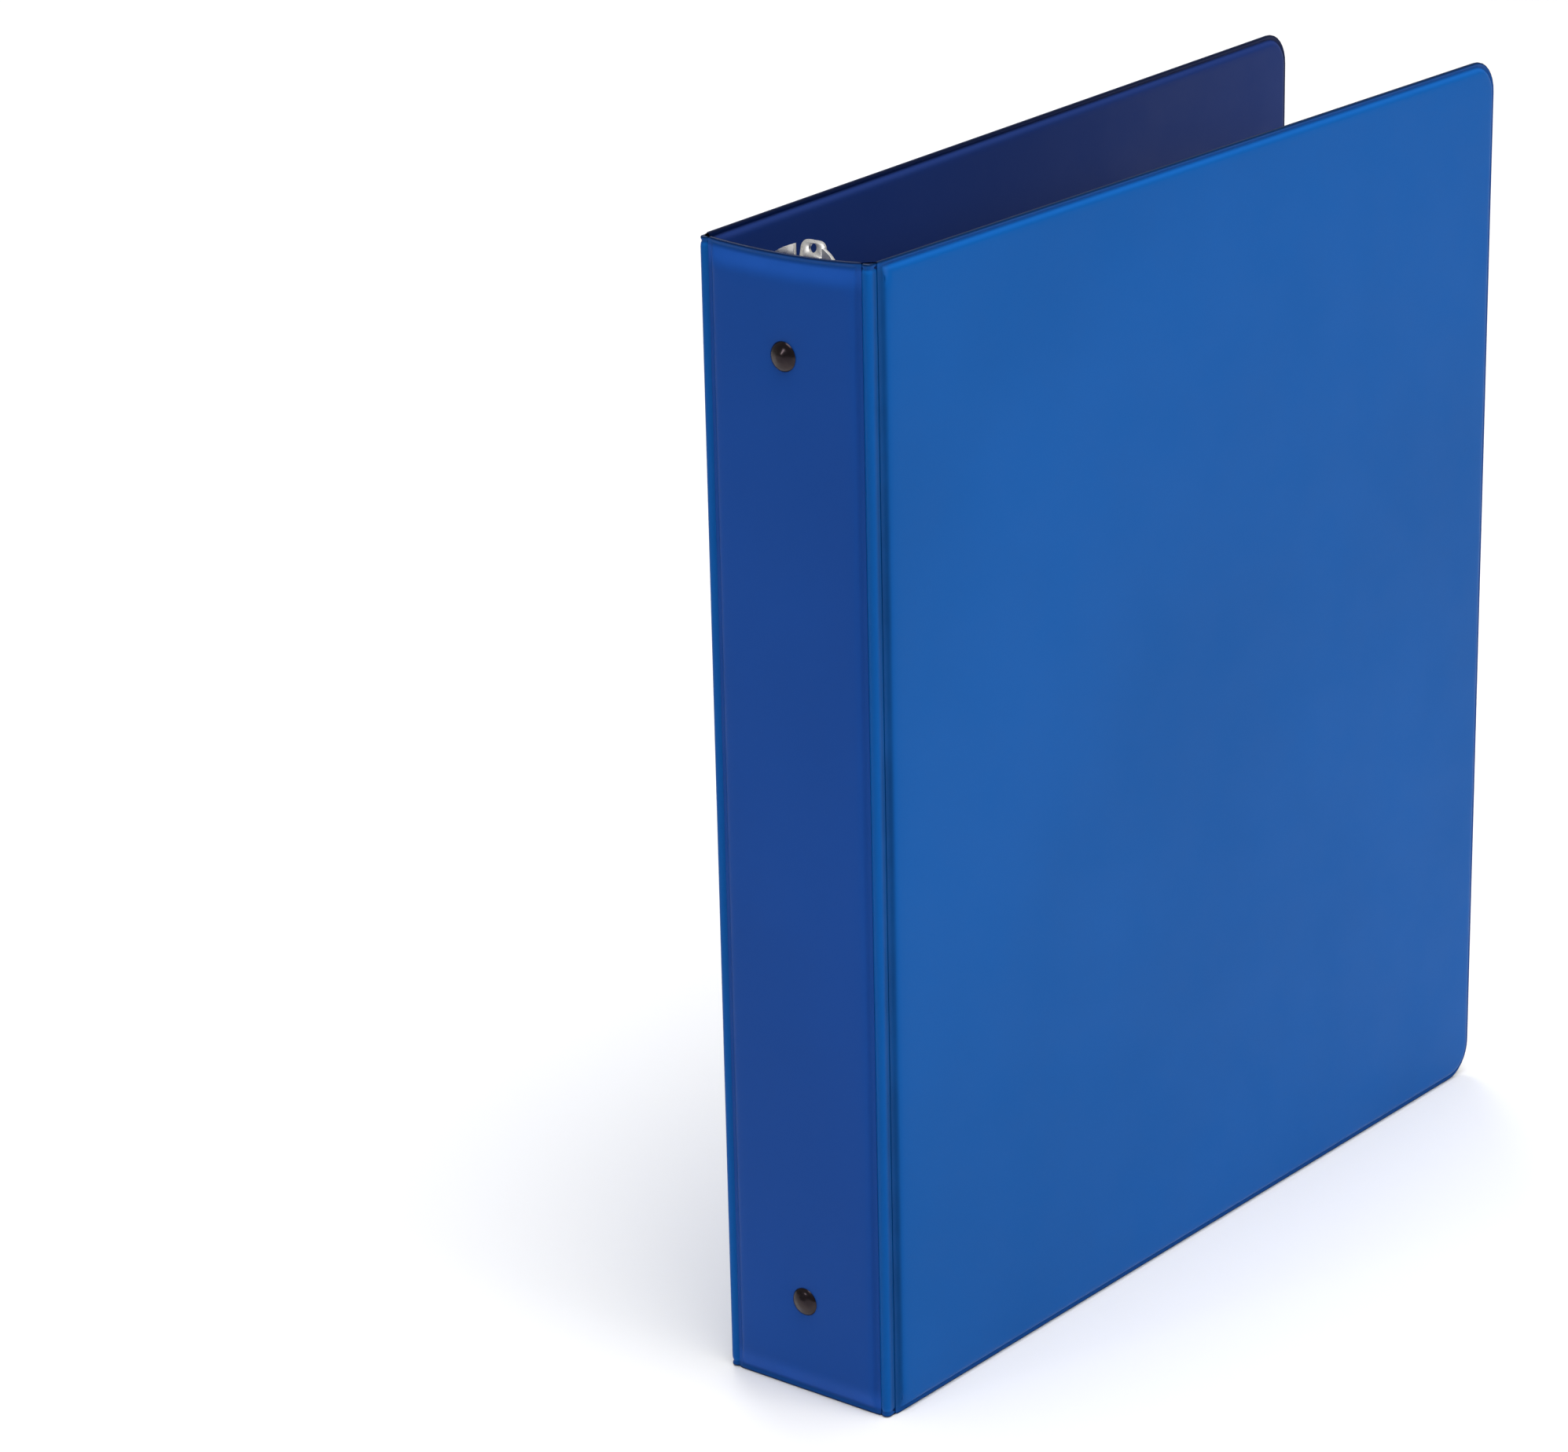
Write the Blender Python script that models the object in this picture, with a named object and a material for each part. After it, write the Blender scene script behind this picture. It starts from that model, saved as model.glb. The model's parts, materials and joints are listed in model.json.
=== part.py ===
"""A three-ring binder with boards sealed in vinyl and a riveted metal ring mechanism.

The binder stands upright: +Z runs up its height, +X from the spine to the fore edges, and the
front cover faces -Y. All shapes are first laid out in binder coordinates, whose origin is the
middle of the spine's outer face at the foot, and one parent empty moves them so that the world
origin lies under the middle of the whole binder.
"""
import math

import bmesh
import bpy
import numpy as np
from mathutils import Vector

MM = 0.001

# Driving dimensions of the case
HEIGHT = 295 * MM
DEPTH = 267 * MM                 # spine's outer face to the covers' fore edges
THICKNESS = 52.5 * MM            # across both covers at the spine
PANEL = 3 * MM                   # board with a vinyl skin on each face
BOARD = 1.8 * MM
SKIN = 0.4 * MM
HINGE_LEG = 3.8 * MM             # what each corner hinge takes off the spine and the cover
SPLAY = math.radians(1.75)       # how far each cover stands open at rest
CORNER_RADIUS = 9.5 * MM
HINGE_CORNER_RADIUS = 0.8 * MM
SHARPEST_CORNER = 0.3 * MM
RIM = 2.2 * MM                   # welded flange where the two skins meet, past the board
RIM_SLOPE = 1.3 * MM             # run over which a cover's skin climbs from the flange to its face
SPINE_RIM_SLOPE = 3.6 * MM       # the same at the spine's top and foot
HINGE_RIM = 0.5 * MM
HINGE_SLOPE = 0.8 * MM
WELD_GAP = 0.2 * MM
GAP = 0.3 * MM                   # between pieces that touch on a real binder
HINGE_VINYL = 1.3 * MM           # thickness of the hinge strip
FLOOR_GAP = 0.5 * MM             # hinge strips stop this far short of both ends

# Inside pockets
POCKET_START = 40 * MM           # from the spine's outer face
POCKET_HEIGHT = 140 * MM
POCKET_SHEET = 0.3 * MM
POCKET_MARGIN = 5 * MM
POCKET_CORNER = 2 * MM

# Ring mechanism
RING_INNER = 33 * MM             # inner diameter
RING_WIRE = 2.6 * MM
RING_SPACING = 107.95 * MM       # 4.25 in, US letter punching
RING_CENTRE_X = 23.4 * MM
RING_BEND_ANGLE = math.radians(146)
RING_BEND_RADIUS = 2 * MM
PLATE = 1.1 * MM
PLATE_TILT = math.radians(5)     # the plates dip towards the middle while the rings are shut
PIVOT_X = 6 * MM
PIVOT_Y = 10.4 * MM
PLATE_OUTER_EDGE = 0.5 * MM      # beyond the pivot
PLATE_MIDDLE_GAP = 0.25 * MM     # each plate stops this far from the middle
PLATE_END = 15 * MM              # from the binder's top and foot
HOUSING = 0.9 * MM               # sheet thickness
HOUSING_END = 0.6 * MM           # crown of each arc-shaped end, from the binder's top and foot
HOUSING_END_RADIUS = 15 * MM
HOUSING_END_SWEEP = math.radians(62)
HOUSING_HALF_WIDTH = 12.2 * MM
HOUSING_FOOT_X = 3.3 * MM
HOUSING_SHOULDER_X = 7.4 * MM
HOUSING_APEX_X = 11.6 * MM
HOUSING_CHAMFER = 0.6 * MM
HOUSING_LIP = 9.4 * MM           # the curled lips reach in to this distance from the middle
RING_SLOT = (6.4 * MM, 13 * MM)  # reach of each ring slot across the housing
RING_SLOT_HALF = 2.1 * MM
RING_SLOT_X = 6.9 * MM
NOTCH_HALF = 4.1 * MM            # notch in each end of the housing, where the lever comes out
NOTCH_DEPTH = 13.5 * MM          # from the binder's top and foot
CUT_REACH = 30 * MM              # how far a cutter runs past the piece it cuts

# Rivets
RIVET_INSET = 25.4 * MM          # from the binder's top and foot
RIVET_HEAD_RADIUS = 3.7 * MM
RIVET_HEAD_HEIGHT = 1.3 * MM
RIVET_DOME = (78, 55, 32, 12, 0)  # angles in degrees from the head's rim, crown first
RIVET_SHANK = 1.9 * MM
RIVET_HOLE = 2.2 * MM
RIVET_TAIL_RADIUS = 2.9 * MM
RIVET_TAIL = 0.6 * MM
RIVET_TAIL_TAPER = 0.8
RIVET_NOTCH = 2.9 * MM           # clearance round the shank in the plates

# Levers, in x and distance from the binder's end
LEVER_PATH = ((3.8, 22.0), (3.8, 13.6), (9.6, 10.9), (12.0, 4.3), (13.0, 0.3))
LEVER_BEND = 1.6 * MM
LEVER_SHEET = 0.9 * MM
LEVER_HALF_WIDTH = 3.5 * MM
LEVER_PIVOT = (7.4 * MM, 12 * MM)
LEVER_FOOT_CHAMFER = 0.6 * MM
LEVER_LUG_AT = 12 * MM           # along the lever from its foot, where it passes the pivot
LEVER_LUG_HALF_WIDTH = 6.4 * MM
LEVER_LUG_HALF_LENGTH = 0.8 * MM
LEVER_LUG_SLOPE = 0.05 * MM
LEVER_TIP_RADIUS = 2 * MM        # of the tab's corners
LEVER_TIP_ARC = math.radians(84)
LEVER_HOLE_RADIUS = 1.1 * MM
LEVER_HOLE_INSET = 1.9 * MM      # from the tab's tip
LEVER_HOLE_REACH = 3 * MM        # how far the hole's cutter runs each way

ARC_STEPS = 8
ROUND_SIDES = 32
SMOOTH_BELOW = math.radians(35)  # edges flatter than this are shaded smooth

# Worked out from the above
MIDDLE = HEIGHT / 2
SPINE_HALF = THICKNESS / 2 - HINGE_LEG
PANEL_MIDDLE = PANEL / 2
HINGE_REACH = 2.45 * MM          # hinge axis to the edge of either panel, half the unrolled strip
AXIS_X = HINGE_LEG - HINGE_REACH
AXIS_Y = SPINE_HALF + HINGE_REACH
COVER_MIDDLE = THICKNESS / 2 - PANEL_MIDDLE - AXIS_Y
COVER_END = DEPTH - AXIS_X
RING_RADIUS = (RING_INNER + RING_WIRE) / 2
FLANGE = WELD_GAP / 2 + SKIN
BOX_LOW_X = -RIVET_HEAD_HEIGHT - WELD_GAP
BOX_HIGH_X = AXIS_X + COVER_END * math.cos(SPLAY) + (FLANGE - COVER_MIDDLE) * math.sin(SPLAY)
ORIGIN_SHIFT = -(BOX_LOW_X + BOX_HIGH_X) / 2
FRONT, BACK = -1, 1
TOP, BOTTOM = 1, -1


def clear_scene():
    for item in list(bpy.data.objects):
        bpy.data.objects.remove(item, do_unlink=True)


def make_material(name, colour, roughness, metallic=0.0):
    material = bpy.data.materials.new(name)
    material.use_nodes = True
    shader = material.node_tree.nodes["Principled BSDF"]
    shader.inputs["Base Color"].default_value = (*colour, 1)
    shader.inputs["Roughness"].default_value = roughness
    shader.inputs["Metallic"].default_value = metallic
    return material


def make_empty(name, location, parent=None, turn=0.0):
    empty = bpy.data.objects.new(name, None)
    empty.location = location
    empty.rotation_euler = (0, 0, turn)
    empty.parent = parent
    bpy.context.scene.collection.objects.link(empty)
    return empty


def add_object(name, data, material, parent):
    item = bpy.data.objects.new(name, data)
    data.materials.append(material)
    item.parent = parent
    bpy.context.scene.collection.objects.link(item)
    return item


def loft(name, loops, material, parent, smooth=False):
    """A closed body through loops of equally many points, capped at both ends."""
    shape = bmesh.new()
    rows = [[shape.verts.new(point) for point in loop] for loop in loops]
    for low, high in zip(rows, rows[1:]):
        for index in range(len(low)):
            after = (index + 1) % len(low)
            shape.faces.new((low[index], low[after], high[after], high[index]))
    shape.faces.new(rows[0])
    shape.faces.new(list(reversed(rows[-1])))
    bmesh.ops.recalc_face_normals(shape, faces=shape.faces)
    mesh = bpy.data.meshes.new(name)
    shape.to_mesh(mesh)
    shape.free()
    if smooth:
        mesh.shade_smooth()
        mesh.set_sharp_from_angle(angle=SMOOTH_BELOW)
    return add_object(name, mesh, material, parent)


def cut(item, cutter):
    modifier = item.modifiers.new("cut_" + cutter.name, "BOOLEAN")
    modifier.operation = "DIFFERENCE"
    modifier.solver = "EXACT"
    modifier.object = cutter


def hide_cutter(cutter):
    cutter.hide_render = True
    cutter.display_type = "WIRE"
    return cutter


def box_cutter(name, low, high, material, parent):
    outline = ((low[0], low[1]), (high[0], low[1]), (high[0], high[1]), (low[0], high[1]))
    loops = [[Vector((x, y, z)) for x, y in outline] for z in (low[2], high[2])]
    return hide_cutter(loft(name, loops, material, parent))


def lathe_loops(profile, centre, axis, sides=ROUND_SIDES):
    """Circles of the given radii at the given distances along an axis in the XZ plane."""
    along = Vector(axis).normalized()
    across = Vector((0, 1, 0))
    up = along.cross(across)
    loops = []
    for radius, distance in profile:
        middle = Vector(centre) + along * distance
        angles = [2 * math.pi * step / sides for step in range(sides)]
        loops.append([middle + (across * math.cos(a) + up * math.sin(a)) * radius for a in angles])
    return loops


def rounded_rectangle(low, high, radii):
    """Points round a rectangle, one corner radius for each corner from the low, low one."""
    corners = ((low[0], low[1], 1, 1), (high[0], low[1], -1, 1),
               (high[0], high[1], -1, -1), (low[0], high[1], 1, -1))
    points = []
    for index, ((u, v, inward_u, inward_v), radius) in enumerate(zip(corners, radii)):
        for step in range(ARC_STEPS + 1):
            angle = math.radians(180 + 90 * index + 90 * step / ARC_STEPS)
            points.append((u + inward_u * radius + radius * math.cos(angle),
                           v + inward_v * radius + radius * math.sin(angle)))
    return points


def panel_outline(rim, hinge, is_spine):
    """The spine's or a cover's outline, drawn in by rim at free edges and hinge at hinged ones."""
    sharp = max(HINGE_CORNER_RADIUS - hinge, SHARPEST_CORNER)
    if is_spine:
        low, high = -SPINE_HALF + hinge, SPINE_HALF - hinge
        return rounded_rectangle((low, rim), (high, HEIGHT - rim), (sharp,) * 4)
    low, high = HINGE_REACH + hinge, COVER_END - rim
    radii = (sharp, CORNER_RADIUS - rim, CORNER_RADIUS - rim, sharp)
    return rounded_rectangle((low, rim), (high, HEIGHT - rim), radii)


def panel_loops(stations, place, is_spine):
    """Loops for stations of (drawn in at free edges, drawn in at hinges, offset outwards)."""
    loops = []
    for rim, hinge, offset in stations:
        loops.append([place(u, z, offset) for u, z in panel_outline(rim, hinge, is_spine)])
    return loops


def build_panel(name, place, is_spine, vinyl, inner_vinyl, card, parent):
    """A board between an outer and an inner vinyl skin, whose flanges meet past its edges."""
    face_rim = RIM + (SPINE_RIM_SLOPE if is_spine else RIM_SLOPE)
    face_hinge = HINGE_RIM + HINGE_SLOPE
    skin = ((face_rim, face_hinge, PANEL_MIDDLE),
            (RIM, HINGE_RIM, FLANGE),
            (0, 0, FLANGE),
            (0, 0, FLANGE - SKIN),
            (RIM + GAP, HINGE_RIM + GAP, FLANGE - SKIN),
            (face_rim + GAP, face_hinge + GAP, PANEL_MIDDLE - SKIN))
    inner = tuple((rim, hinge, -offset) for rim, hinge, offset in skin)
    board_rim = face_rim + 2 * GAP
    board_hinge = face_hinge + 2 * GAP
    board = ((board_rim, board_hinge, -BOARD / 2), (board_rim, board_hinge, BOARD / 2))
    return [loft(name + "_board", panel_loops(board, place, is_spine), card, parent),
            loft(name + "_outer_vinyl", panel_loops(skin, place, is_spine), vinyl, parent),
            loft(name + "_inner_vinyl", panel_loops(inner, place, is_spine), inner_vinyl, parent)]


def spine_place(u, z, offset):
    return Vector((PANEL_MIDDLE - offset, u, z))


def build_spine(materials, parent):
    panels = build_panel("spine", spine_place, True, materials["vinyl"], materials["inner_vinyl"],
                         materials["card"], parent)
    housing = build_housing(materials["nickel"], parent)
    for end, label in ((TOP, "top"), (BOTTOM, "bottom")):
        z = end_height(end, RIVET_INSET)
        hole = lathe_loops(((RIVET_HOLE, -CUT_REACH), (RIVET_HOLE, CUT_REACH)), (0, 0, z), (1, 0, 0))
        cutter = hide_cutter(loft("cut_rivet_" + label, hole, materials["nickel"], parent))
        for piece in panels + [housing]:
            cut(piece, cutter)
        build_rivet(label, z, materials["gunmetal"], parent)


def end_height(end, inset):
    return HEIGHT - inset if end == TOP else inset


def build_rivet(label, z, material, parent):
    """A domed head on the spine, a shank through the case, and a tail spread on the housing."""
    tail_start = HOUSING_APEX_X + GAP
    dome = [(RIVET_HEAD_RADIUS * math.cos(angle), -WELD_GAP - RIVET_HEAD_HEIGHT * math.sin(angle))
            for angle in map(math.radians, RIVET_DOME)]
    dome[0] = (dome[0][0], BOX_LOW_X)
    profile = dome + [(RIVET_SHANK, -WELD_GAP), (RIVET_SHANK, tail_start),
                      (RIVET_TAIL_RADIUS, tail_start),
                      (RIVET_TAIL_RADIUS * RIVET_TAIL_TAPER, tail_start + RIVET_TAIL)]
    loft(label + "_rivet", lathe_loops(profile, (0, 0, z), (1, 0, 0)), material, parent,
         smooth=True)


def housing_profile():
    """Half the arched section, outer side from lip to apex and inner side back, then mirrored."""
    rise = HOUSING_APEX_X - HOUSING_SHOULDER_X
    radius = (HOUSING_HALF_WIDTH ** 2 + rise ** 2) / (2 * rise)
    centre = HOUSING_APEX_X - radius
    sweep = math.asin(HOUSING_HALF_WIDTH / radius)
    inner_radius = radius - HOUSING
    inner_half = HOUSING_HALF_WIDTH - HOUSING
    inner_sweep = math.asin(inner_half / inner_radius)
    steps = 2 * ARC_STEPS
    shares = [step / steps for step in range(-steps, steps + 1)]
    outer = [(centre + radius * math.cos(sweep * share), radius * math.sin(sweep * share))
             for share in shares]
    inner = [(centre + inner_radius * math.cos(inner_sweep * share),
              inner_radius * math.sin(inner_sweep * share))
             for share in reversed(shares)]
    chamfer = HOUSING_CHAMFER
    low = HOUSING_FOOT_X
    lip = [(low + chamfer, HOUSING_HALF_WIDTH), (low, HOUSING_HALF_WIDTH - chamfer), (low, HOUSING_LIP),
           (low + HOUSING, HOUSING_LIP), (low + HOUSING, inner_half)]
    far_lip = [(x, -y) for x, y in reversed(lip)]
    return outer + lip + inner + far_lip


def end_trimmer(label, end, material, parent):
    """A cutter that leaves an end of the housing arc-shaped."""
    outline = []
    for step in range(-ARC_STEPS, ARC_STEPS + 1):
        angle = HOUSING_END_SWEEP * step / ARC_STEPS
        inset = HOUSING_END + HOUSING_END_RADIUS * (1 - math.cos(angle))
        outline.append((HOUSING_END_RADIUS * math.sin(angle), end_height(end, inset)))
    outline += [(outline[-1][0], end_height(end, -CUT_REACH)), (outline[0][0], end_height(end, -CUT_REACH))]
    loops = [[Vector((x, y, z)) for y, z in outline] for x in (0, CUT_REACH)]
    return hide_cutter(loft("cut_end_" + label, loops, material, parent))


def build_housing(material, parent):
    """The arched metal cover with a slot for each half ring and a notch for each lever."""
    loops = [[Vector((x, y, z)) for x, y in housing_profile()] for z in (0, HEIGHT)]
    housing = loft("ring_housing", loops, material, parent, smooth=True)
    for label, height in ring_heights():
        for side, side_name in ((FRONT, "front"), (BACK, "back")):
            across = sorted((side * RING_SLOT[0], side * RING_SLOT[1]))
            low = (RING_SLOT_X, across[0], height - RING_SLOT_HALF)
            high = (CUT_REACH, across[1], height + RING_SLOT_HALF)
            cut(housing, box_cutter("cut_slot_%s_%s" % (side_name, label), low, high, material, parent))
    for end, label in ((TOP, "top"), (BOTTOM, "bottom")):
        cut(housing, end_trimmer(label, end, material, parent))
        reach = sorted((end_height(end, NOTCH_DEPTH), end_height(end, -CUT_REACH)))
        low = (RING_SLOT_X, -NOTCH_HALF, reach[0])
        high = (CUT_REACH, NOTCH_HALF, reach[1])
        cut(housing, box_cutter("cut_notch_" + label, low, high, material, parent))
    return housing


def ring_heights():
    return (("top", MIDDLE + RING_SPACING), ("middle", MIDDLE), ("bottom", MIDDLE - RING_SPACING))


def build_cover(name, side, materials, parent):
    """A cover on an empty that stands on its hinge's axis and carries its splay."""
    hinge = make_empty(name + "_cover_hinge_axis", (AXIS_X, side * AXIS_Y, 0), parent, side * SPLAY)

    def place(u, z, offset):
        return Vector((u, side * (COVER_MIDDLE + offset), z))

    build_panel(name, place, False, materials["vinyl"], materials["inner_vinyl"],
                materials["card"], hinge)
    near = -PANEL_MIDDLE - GAP
    outline = rounded_rectangle((POCKET_START - AXIS_X, POCKET_MARGIN),
                                (COVER_END - POCKET_MARGIN, POCKET_HEIGHT),
                                (POCKET_CORNER, CORNER_RADIUS - POCKET_MARGIN,
                                 POCKET_CORNER, POCKET_CORNER))
    loops = [[place(u, z, offset) for u, z in outline] for offset in (near, near - POCKET_SHEET)]
    loft(name + "_pocket", loops, materials["pocket"], hinge)


def build_hinge_vinyl(name, side, material, parent):
    """The bowed strip of welded vinyl that bends as a cover opens."""
    outer = HINGE_LEG - WELD_GAP
    inner = outer - HINGE_VINYL
    centre = Vector((HINGE_LEG, side * SPINE_HALF, 0))
    margin = GAP / (outer - HINGE_VINYL / 2)
    steps = 2 * ARC_STEPS
    angles = [margin + (math.pi / 2 - 2 * margin) * step / steps for step in range(steps + 1)]
    section = [(outer, a) for a in angles] + [(inner, a) for a in reversed(angles)]
    loops = []
    for z in (FLOOR_GAP, HEIGHT - FLOOR_GAP):
        loops.append([centre + Vector((-radius * math.cos(a), side * radius * math.sin(a), z))
                      for radius, a in section])
    loft(name + "_hinge_vinyl", loops, material, parent, smooth=True)


def plate_outline():
    """Distances from the pivot and heights round one hinge plate, with a notch at each rivet."""
    reach = PIVOT_Y / math.cos(PLATE_TILT)
    edge = reach - PLATE_MIDDLE_GAP
    points = [(edge, PLATE_END)]
    half_angle = math.acos(PLATE_MIDDLE_GAP / RIVET_NOTCH)
    for z in (RIVET_INSET, HEIGHT - RIVET_INSET):
        for step in range(2 * ARC_STEPS + 1):
            angle = -half_angle + half_angle * step / ARC_STEPS
            points.append((reach - RIVET_NOTCH * math.cos(angle), z + RIVET_NOTCH * math.sin(angle)))
    points += [(edge, HEIGHT - PLATE_END), (-PLATE_OUTER_EDGE, HEIGHT - PLATE_END),
               (-PLATE_OUTER_EDGE, PLATE_END)]
    return points


def ring_path(side):
    """The middle line of a half ring, from its tip round to its foot on the hinge plate."""
    tip_angle = GAP / 2 / RING_RADIUS
    steps = 4 * ARC_STEPS
    angles = [tip_angle + (RING_BEND_ANGLE - tip_angle) * step / steps for step in range(steps + 1)]
    points = [(RING_CENTRE_X + RING_RADIUS * math.cos(a), RING_RADIUS * math.sin(a)) for a in angles]
    start = Vector(points[-1])
    inward = Vector((math.cos(RING_BEND_ANGLE), math.sin(RING_BEND_ANGLE)))
    centre = start + inward * RING_BEND_RADIUS
    turn = RING_BEND_ANGLE - math.pi / 2
    for step in range(1, ARC_STEPS):
        angle = RING_BEND_ANGLE + math.pi - turn * step / (ARC_STEPS - 1)
        points.append((centre.x + RING_BEND_RADIUS * math.cos(angle),
                       centre.y + RING_BEND_RADIUS * math.sin(angle)))
    foot_y = points[-1][1]
    plate_top = PIVOT_X - (PIVOT_Y - foot_y) * math.tan(PLATE_TILT) + PLATE / 2
    foot_x = plate_top + GAP
    points.append((foot_x, foot_y))
    return [Vector((x, side * y, 0)) for x, y in points]


def build_half_ring(name, side, height, material, pivot):
    curve = bpy.data.curves.new(name, "CURVE")
    curve.dimensions = "3D"
    curve.bevel_depth = RING_WIRE / 2
    curve.bevel_resolution = 3
    curve.use_fill_caps = True
    path = ring_path(side)
    spline = curve.splines.new("POLY")
    spline.points.add(len(path) - 1)
    for point, place in zip(spline.points, path):
        point.co = (place.x - PIVOT_X, place.y - side * PIVOT_Y, height, 1)
    add_object(name, curve, material, pivot)


def build_ring_side(name, side, material, parent):
    """A hinge plate with its three half rings, on an empty along the plate's pivot."""
    pivot = make_empty(name + "_plate_axis", (PIVOT_X, side * PIVOT_Y, 0), parent)
    along = Vector((-math.sin(PLATE_TILT), -side * math.cos(PLATE_TILT), 0))
    normal = Vector((math.cos(PLATE_TILT), -side * math.sin(PLATE_TILT), 0))
    loops = []
    for offset in (-PLATE / 2, PLATE / 2):
        loops.append([along * d + normal * offset + Vector((0, 0, z)) for d, z in plate_outline()])
    loft(name + "_plate", loops, material, pivot)
    for label, height in ring_heights():
        build_half_ring("%s_half_ring_%s" % (name, label), side, height, material, pivot)


def filleted(path, radius, steps):
    """A polyline with each inner corner rounded off."""
    points = [path[0]]
    for before, corner, after in zip(path, path[1:], path[2:]):
        entry = (before - corner).normalized()
        leave = (after - corner).normalized()
        half = entry.angle(leave) / 2
        setback = radius / math.tan(half)
        centre = corner + (entry + leave).normalized() * (radius / math.sin(half))
        start = corner + entry * setback - centre
        end = corner + leave * setback - centre
        sweep = start.angle(end)
        for step in range(steps + 1):
            share = step / steps
            mix = (start * math.sin((1 - share) * sweep) + end * math.sin(share * sweep))
            points.append(centre + mix / math.sin(sweep))
    points.append(path[-1])
    return points


def lever_half_widths(length):
    """Stations of (distance along the lever, half width): a foot, lugs at the pivot, a rounded tab."""
    wide = LEVER_HALF_WIDTH
    straight = wide - LEVER_TIP_RADIUS
    lug_start = LEVER_LUG_AT - LEVER_LUG_HALF_LENGTH
    lug_end = LEVER_LUG_AT + LEVER_LUG_HALF_LENGTH
    stations = [(0, wide - LEVER_FOOT_CHAMFER),
                (LEVER_FOOT_CHAMFER, wide),
                (lug_start - LEVER_LUG_SLOPE, wide),
                (lug_start, LEVER_LUG_HALF_WIDTH),
                (lug_end, LEVER_LUG_HALF_WIDTH),
                (lug_end + LEVER_LUG_SLOPE, wide)]
    for step in range(ARC_STEPS + 1):
        angle = LEVER_TIP_ARC * step / ARC_STEPS
        stations.append((length - LEVER_TIP_RADIUS * (1 - math.sin(angle)),
                         straight + LEVER_TIP_RADIUS * math.cos(angle)))
    return stations


def point_along(path, distance):
    """The point and direction at a distance along a polyline."""
    for start, end in zip(path, path[1:]):
        step = (end - start).length
        direction = (end - start) / step
        if distance <= step:
            return start + direction * distance, direction
        distance -= step
    return path[-1], direction


def build_lever(label, end, material, parent):
    """A bent strip: foot under the plates, lugs at the pivot, and a tab with a round hole."""
    pivot_place = Vector((LEVER_PIVOT[0], 0, end_height(end, LEVER_PIVOT[1])))
    pivot = make_empty(label + "_lever_axis", pivot_place, parent)
    corners = [Vector((x * MM, 0, end_height(end, inset * MM))) for x, inset in LEVER_PATH]
    path = filleted([corner - pivot_place for corner in corners], LEVER_BEND, ARC_STEPS)
    turns = [0]
    for start, finish in zip(path, path[1:]):
        turns.append(turns[-1] + (finish - start).length)
    distances, half_widths = zip(*lever_half_widths(turns[-1]))
    loops = []
    for stop in sorted(set(distances + tuple(turns[1:-1]))):
        place, direction = point_along(path, stop)
        normal = Vector((direction.z, 0, -direction.x)) * (LEVER_SHEET / 2)
        side = Vector((0, np.interp(stop, distances, half_widths), 0))
        loops.append([place + normal + side, place + normal - side,
                      place - normal - side, place - normal + side])
    lever = loft(label + "_lever", loops, material, pivot)
    tab = (path[-1] - path[-2]).normalized()
    hole = lathe_loops(((LEVER_HOLE_RADIUS, -LEVER_HOLE_REACH), (LEVER_HOLE_RADIUS, LEVER_HOLE_REACH)),
                       path[-1] - tab * LEVER_HOLE_INSET, (tab.z, 0, -tab.x))
    cut(lever, hide_cutter(loft("cut_hole_" + label, hole, material, pivot)))


def main():
    clear_scene()
    materials = {
        "vinyl": make_material("blue_vinyl", (0.0012, 0.082, 0.325), 0.38),
        "inner_vinyl": make_material("navy_vinyl", (0.006, 0.022, 0.12), 0.45),
        "pocket": make_material("pocket_vinyl", (0.007, 0.025, 0.138), 0.35),
        "card": make_material("grey_board", (0.25, 0.22, 0.18), 0.9),
        "nickel": make_material("nickel_plate", (0.72, 0.71, 0.68), 0.22, 1.0),
        "gunmetal": make_material("gunmetal", (0.05, 0.045, 0.04), 0.3, 1.0),
    }
    binder = make_empty("binder", (ORIGIN_SHIFT, 0, 0))
    build_spine(materials, binder)
    for name, side in (("front", FRONT), ("back", BACK)):
        build_cover(name, side, materials, binder)
        build_hinge_vinyl(name, side, materials["vinyl"], binder)
        build_ring_side(name, side, materials["nickel"], binder)
    for label, end in (("top", TOP), ("bottom", BOTTOM)):
        build_lever(label, end, materials["nickel"], binder)


main()
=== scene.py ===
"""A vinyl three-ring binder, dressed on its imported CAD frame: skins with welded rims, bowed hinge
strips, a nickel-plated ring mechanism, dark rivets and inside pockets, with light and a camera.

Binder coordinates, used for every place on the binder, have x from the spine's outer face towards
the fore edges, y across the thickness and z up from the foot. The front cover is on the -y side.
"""
import json
import math

import bmesh
import bpy
import numpy as np
from mathutils import Matrix, Vector


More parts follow.
